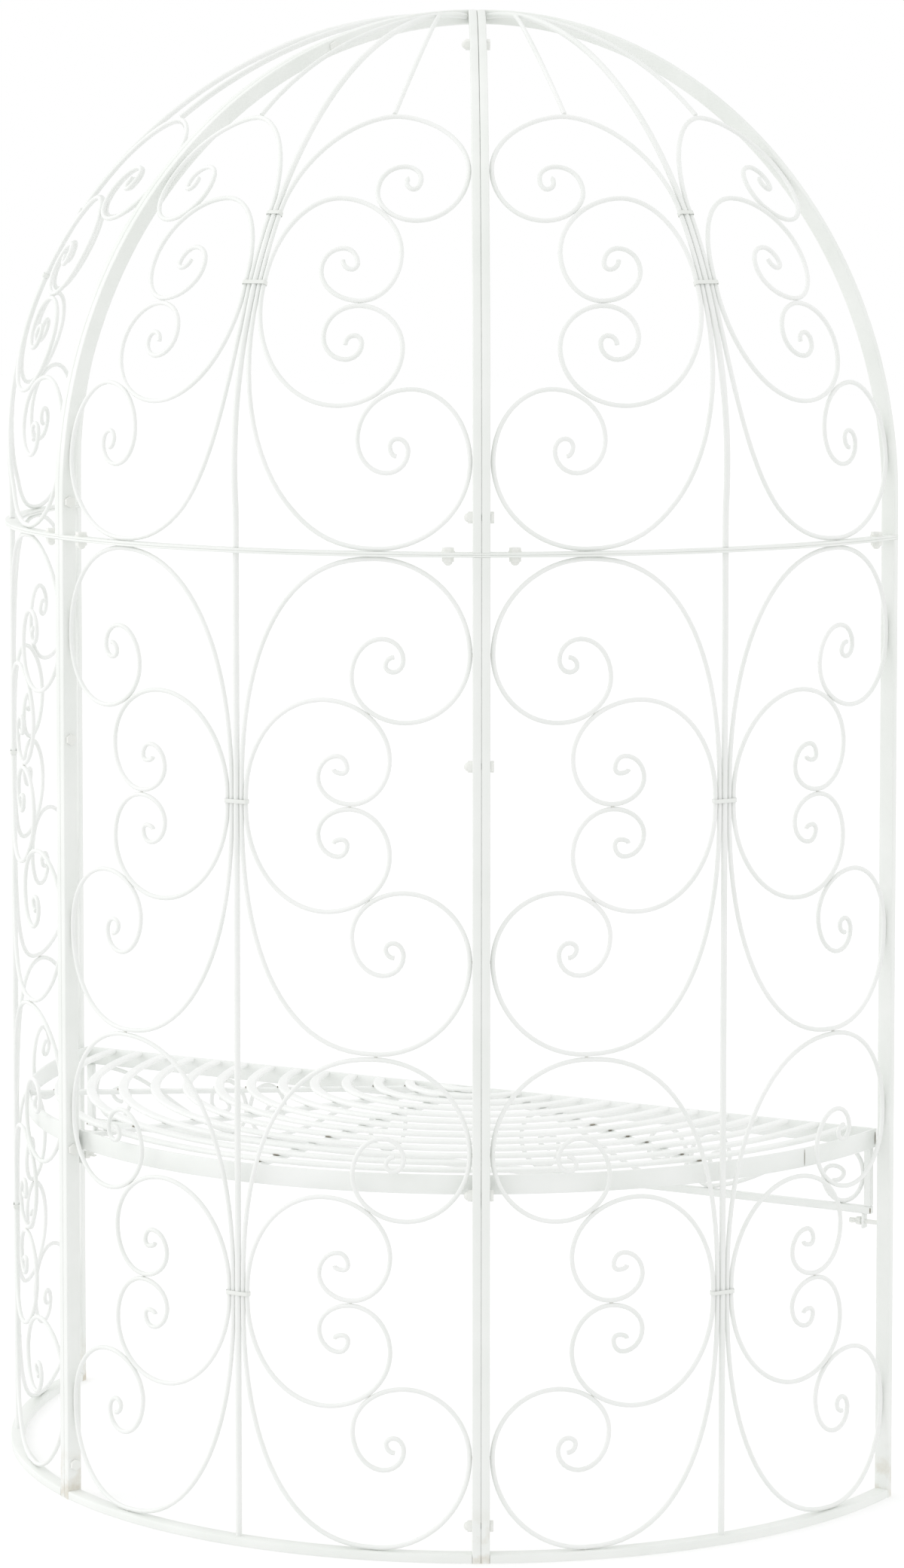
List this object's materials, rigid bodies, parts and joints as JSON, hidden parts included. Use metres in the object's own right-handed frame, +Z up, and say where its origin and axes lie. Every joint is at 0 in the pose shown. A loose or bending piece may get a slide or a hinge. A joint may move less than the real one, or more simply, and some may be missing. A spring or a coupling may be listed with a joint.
{
  "type": "garden gazebo",
  "caption": "Half-round wrought-iron garden arbour with scrollwork walls, an open half dome and a slatted half-disc bench.",
  "frame": {"origin": "on the floor, at the middle of the bounding rectangle of the plan", "axes": "+Z up, -Y out of the open front, so a sitter faces -Y; X runs along the open front"},
  "size_m": [1.2982, 0.6498, 1.984],
  "materials": {
    "frame_paint": "satin off-white paint, weathered",
    "scroll_paint": "satin off-white paint",
    "bench_paint": "satin off-white paint",
    "fastener_paint": "painted over, slightly duller than the frame"
  },
  "bodies": {
    "root": {"left_post_front": "frame_paint", "left_post_rear": "frame_paint", "rear_post_left": "frame_paint", "rear_post_right": "frame_paint", "right_post_rear": "frame_paint", "right_post_front": "frame_paint", "left_base_rail": "frame_paint", "rear_base_rail": "frame_paint", "right_base_rail": "frame_paint", "left_top_rail": "frame_paint", "rear_top_rail": "frame_paint", "right_top_rail": "frame_paint", "left_mid_rod": "scroll_paint", "rear_mid_rod": "scroll_paint", "right_mid_rod": "scroll_paint", "left_outer_scrolls": "scroll_paint", "rear_outer_scrolls": "scroll_paint", "right_outer_scrolls": "scroll_paint", "left_inner_scrolls": "scroll_paint", "rear_inner_scrolls": "scroll_paint", "right_inner_scrolls": "scroll_paint", "wall_collars": "scroll_paint", "left_ring_bar": "frame_paint", "rear_ring_bar": "frame_paint", "right_ring_bar": "frame_paint", "left_rib_front": "frame_paint", "left_rib_rear": "frame_paint", "rear_rib_left": "frame_paint", "rear_rib_right": "frame_paint", "right_rib_rear": "frame_paint", "right_rib_front": "frame_paint", "left_crown_rod": "scroll_paint", "rear_crown_rod": "scroll_paint", "right_crown_rod": "scroll_paint", "left_gore_outer_scrolls": "scroll_paint", "rear_gore_outer_scrolls": "scroll_paint", "right_gore_outer_scrolls": "scroll_paint", "left_gore_inner_scrolls": "scroll_paint", "rear_gore_inner_scrolls": "scroll_paint", "right_gore_inner_scrolls": "scroll_paint", "left_crown_braces": "scroll_paint", "rear_crown_braces": "scroll_paint", "right_crown_braces": "scroll_paint", "gore_lower_ties": "scroll_paint", "gore_upper_ties": "scroll_paint", "bench_rim": "bench_paint", "bench_front_band": "bench_paint", "bench_slats": "bench_paint", "bench_spokes": "bench_paint", "apron_rail": "bench_paint", "apron_uprights": "bench_paint", "apron_scrolls": "bench_paint", "bench_tabs": "bench_paint", "bench_bolts": "fastener_paint", "seam_bolts": "fastener_paint", "ring_bolts": "fastener_paint"}
  },
  "joints": []
}
